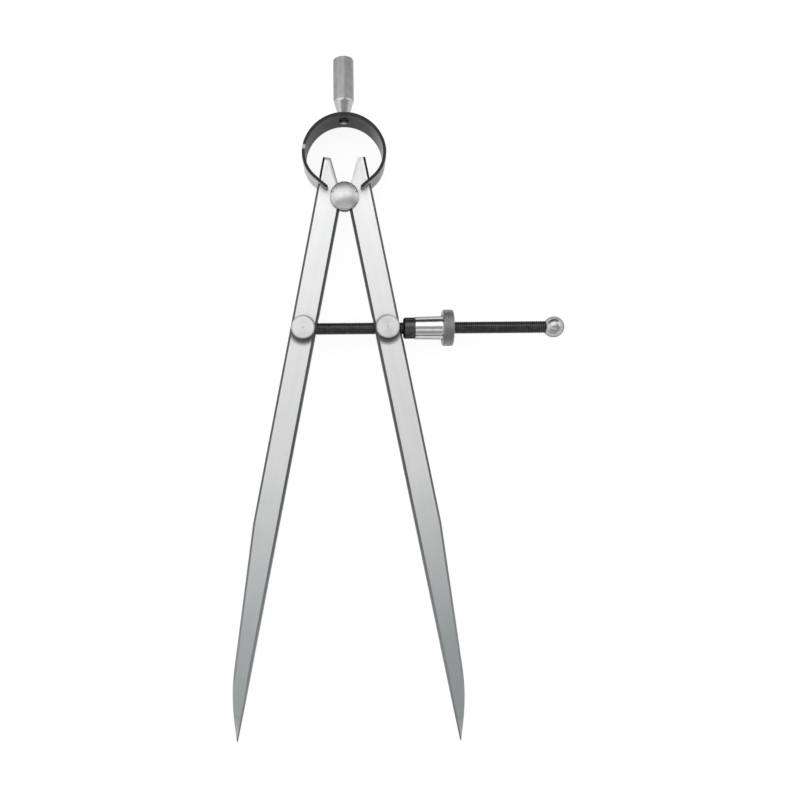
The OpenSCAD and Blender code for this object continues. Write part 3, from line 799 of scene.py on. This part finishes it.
def polished_finish(name, colour, roughest, knurl_attribute):
    """Bright metal with faint rings about the rod, darker where it turns away; a knurled part is greyer."""
    material, tree, shader, place = new_finish(name, Specular_Tint=(*POLISHED_TINT, 1))
    where = place.outputs["Object"]
    stretched = put(tree, "ShaderNodeVectorMath", {0: where, 1: LATHE_STRETCH}, operation="MULTIPLY")
    rings = put(tree, "ShaderNodeTexNoise", {
        "Vector": stretched.outputs[0], "Scale": 1.0, "Detail": 2.0}).outputs[0]
    marks = use(tree, cloud_group, {"Vector": where, "Marks per metre": 350.0}).outputs[0]
    colour = tint(tree, marks, [c * 0.88 for c in colour], colour)
    rough = spread(tree, rings, *NOISE_SPAN, roughest - 0.1, roughest)
    if knurl_attribute:
        knurled = put(tree, "ShaderNodeAttribute", attribute_name=knurl_attribute).outputs["Fac"]
        colour = tint(tree, knurled, colour, KNURL_COLOUR)
        tree.links.new(tint(tree, knurled, POLISHED_TINT, KNURL_TINT), shader.inputs["Specular Tint"])
        rough = calc(tree, "ADD", rough, calc(tree, "MULTIPLY", knurled, 0.06))
    finish_with(tree, shader, colour, rough, rings, 0.006 * MM, 0.25)
    return material


# %% [markdown]
# ## Dressing the pieces
# Each solid and each new piece gets one finish. The two legs share theirs, and so do the
# fulcrum's stud and cap. What differs between pieces of one finish is given here by name.

# %% Put the finishes on
def dress(piece, material):
    """Replaces every material slot of a piece with one material."""
    piece.data.materials.clear()
    piece.data.materials.append(material)


BALL_COLOUR, NUT_COLOUR = (0.54, 0.54, 0.535), (0.68, 0.68, 0.675)
FULCRUM_COLOUR, STUD_COLOUR = (0.61, 0.61, 0.605), (0.82, 0.82, 0.81)
DOME_FANS, STUD_FANS = 0.25, 0.0
DOME_PIP, STUD_PIP = 0.0, 0.35 * MM
# The spring's outside below the top: painted lighter on the left half and darker on the right, as light and
# shade.
LEFT_OUTSIDE_LIT, RIGHT_OUTSIDE_SHADED = (0.5, 0.5, 0.495), (0.2, 0.2, 0.195)
LEFT_NICK = 20.0
# Strength of the painted sheen inside each half.
LEFT_INSIDE_SHEEN, RIGHT_INSIDE_SHEEN = 0.1, 0.8
BALL_ROUGHEST, NUT_ROUGHEST = 0.34, 0.24
leg_steel = leg_finish()
dress(nodes["left_leg"], leg_steel)
dress(nodes["right_leg"], leg_steel)
dress(nodes["handle"], handle_finish())
dress(nodes["thrust_collar"], black_finish("black_collar_steel", None))
dress(nodes["ball_end"], polished_finish("polished_ball_steel", BALL_COLOUR, BALL_ROUGHEST, None))
dress(rod, black_finish("black_rod_steel", "crest"))
dress(nut, polished_finish("polished_nut_steel", NUT_COLOUR, NUT_ROUGHEST, "knurled"))
dome_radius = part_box("fulcrum_stud")[1][0]
fulcrum_steel = turned_finish(
    "turned_fulcrum_steel", (0, 0, 0), dome_radius, FULCRUM_COLOUR, DOME_FANS, DOME_PIP)
dress(nodes["fulcrum_stud"], fulcrum_steel)
dress(nodes["fulcrum_cap"], fulcrum_steel)
for node, centre in (("left_swivel_stud", left_stud), ("right_swivel_stud", right_stud)):
    stud_steel = turned_finish("turned_" + node, centre, STUD_HEAD_R, STUD_COLOUR, STUD_FANS, STUD_PIP)
    dress(nodes[node], stud_steel)
dress(spring_halves["left"], spring_finish("spring_steel_left", LEFT_OUTSIDE_LIT, LEFT_INSIDE_SHEEN, LEFT_NICK))
dress(spring_halves["right"], spring_finish("spring_steel_right", RIGHT_OUTSIDE_SHADED, RIGHT_INSIDE_SHEEN, None))
print("materials:", sorted(m.name for m in bpy.data.materials if m.users))

# %% [markdown]
# ## Floor, light and surroundings
# The photograph has a plain white ground. A pale floor lies under the tool. To the camera
# and in reflections it glows almost white, and the rest of its brightness is real light, so
# that it keeps a soft shadow. Four softboxes light the tool, the widest from the handle's
# side. Two dark cards stand on the floor and give bright metal its dark edges; they show in
# reflections only. Round it all the world is a white wall under a dimmer ceiling.

# %% Floor
FLOOR_HALF = 2.0
FLOOR_Z = -0.2 * MM
FLOOR_GLOW = 0.9
FLOOR_WHITE = (0.9, 0.9, 0.9)
FLOOR_SEEN = (0.16, 0.16, 0.16)
floor_mesh = bpy.data.meshes.new("floor")
corner_signs = ((-1, -1), (1, -1), (1, 1), (-1, 1))
corners = [(x * FLOOR_HALF, y * FLOOR_HALF, FLOOR_Z) for x, y in corner_signs]
floor_mesh.from_pydata(corners, [], [(0, 1, 2, 3)])
floor = bpy.data.objects.new("floor", floor_mesh)
bpy.context.scene.collection.objects.link(floor)


def floor_paint():
    """White matt paint. To camera, glossy and transmission rays it is a glow plus a thin share of matt."""
    material = bpy.data.materials.new("floor_paint")
    material.use_nodes = True
    tree = material.node_tree
    tree.nodes.clear()
    path = put(tree, "ShaderNodeLightPath")
    seen = calc(tree, "MAXIMUM", path.outputs["Is Camera Ray"], path.outputs["Is Glossy Ray"])
    seen = calc(tree, "MAXIMUM", seen, path.outputs["Is Transmission Ray"])
    matt = put(tree, "ShaderNodeBsdfDiffuse", {"Color": tint(tree, seen, FLOOR_WHITE, FLOOR_SEEN)})
    glow = put(tree, "ShaderNodeEmission", {"Strength": calc(tree, "MULTIPLY", seen, FLOOR_GLOW)})
    both = put(tree, "ShaderNodeAddShader", {0: matt.outputs[0], 1: glow.outputs[0]})
    put(tree, "ShaderNodeOutputMaterial", {0: both.outputs[0]})
    return material


dress(floor, floor_paint())
print("floor: %.1f m wide, %.1f mm under the tool" % (2 * FLOOR_HALF, -FLOOR_Z / MM))

# %% Softboxes
def softbox(name, place, target, size, radiance):
    """An oblong area light that faces the target, with a given radiance: power = pi * area * radiance."""
    lamp = bpy.data.lights.new(name, "AREA")
    lamp.shape = "RECTANGLE"
    lamp.size, lamp.size_y = size
    lamp.energy = math.pi * size[0] * size[1] * radiance
    light = bpy.data.objects.new(name, lamp)
    bpy.context.scene.collection.objects.link(light)
    light.location = place
    away = light.location - type(light.location)(target)
    light.rotation_euler = away.to_track_quat("Z", "Y").to_euler()
    print("%s: %.1f W" % (name, lamp.energy))


aim = (0.0, -0.05, 0.007)
softbox("handle_side_softbox", (-0.06, 0.22, 0.44), aim, size=(0.6, 0.42), radiance=1.3)
softbox("point_side_softbox", (0.0, -0.25, 0.42), aim, size=(0.6, 0.14), radiance=0.7)
softbox("left_softbox", (-0.42, -0.03, 0.28), aim, size=(0.5, 0.3), radiance=0.8)
softbox("right_softbox", (0.38, 0.16, 0.26), aim, size=(0.4, 0.25), radiance=1.0)

# %% Dark cards
CARD_WIDTH = 0.5


def dark_card(name, y, top):
    """An upright card that stands on the floor across the tool's length, at a place y and up to a height."""
    half = CARD_WIDTH / 2
    points = [(-half, y, FLOOR_Z), (half, y, FLOOR_Z), (half, y, top), (-half, y, top)]
    mesh = bpy.data.meshes.new(name)
    mesh.from_pydata(points, [], [(0, 1, 2, 3)])
    card = bpy.data.objects.new(name, mesh)
    bpy.context.scene.collection.objects.link(card)
    card.visible_camera = False
    card.visible_diffuse = False
    card.visible_shadow = False
    return card


def card_paint():
    """Dull black card with a little unevenness."""
    material, tree, shader, place = new_finish("card_paint", Metallic=0.0, Roughness=0.9)
    marks = use(tree, cloud_group, {"Vector": place.outputs["Object"], "Marks per metre": 8.0}).outputs[0]
    tree.links.new(tint(tree, marks, (0.03, 0.03, 0.03), (0.05, 0.05, 0.05)), shader.inputs["Base Color"])
    return material


paint = card_paint()
dress(dark_card("handle_side_card", y=0.17, top=0.16), paint)
dress(dark_card("point_side_card", y=-0.34, top=0.06), paint)

# %% Surroundings
WALL_TOP, CEILING_START = 0.25, 0.45
CEILING_LIGHT = 0.4
ROOM_COLOUR = (0.985, 0.992, 1.0, 1)
world = bpy.data.worlds.new("studio")
world.use_nodes = True
bpy.context.scene.world = world
room = world.node_tree
direction = put(room, "ShaderNodeTexCoord").outputs["Generated"]
height = put(room, "ShaderNodeSeparateXYZ", {0: direction}).outputs[2]
background = room.nodes["Background"]
background.inputs["Color"].default_value = ROOM_COLOUR
light_level = spread(room, height, WALL_TOP, CEILING_START, 1.0, CEILING_LIGHT)
room.links.new(light_level, background.inputs["Strength"])
print("room: white up to a height of %.2f, then %.1f" % (WALL_TOP, CEILING_LIGHT))
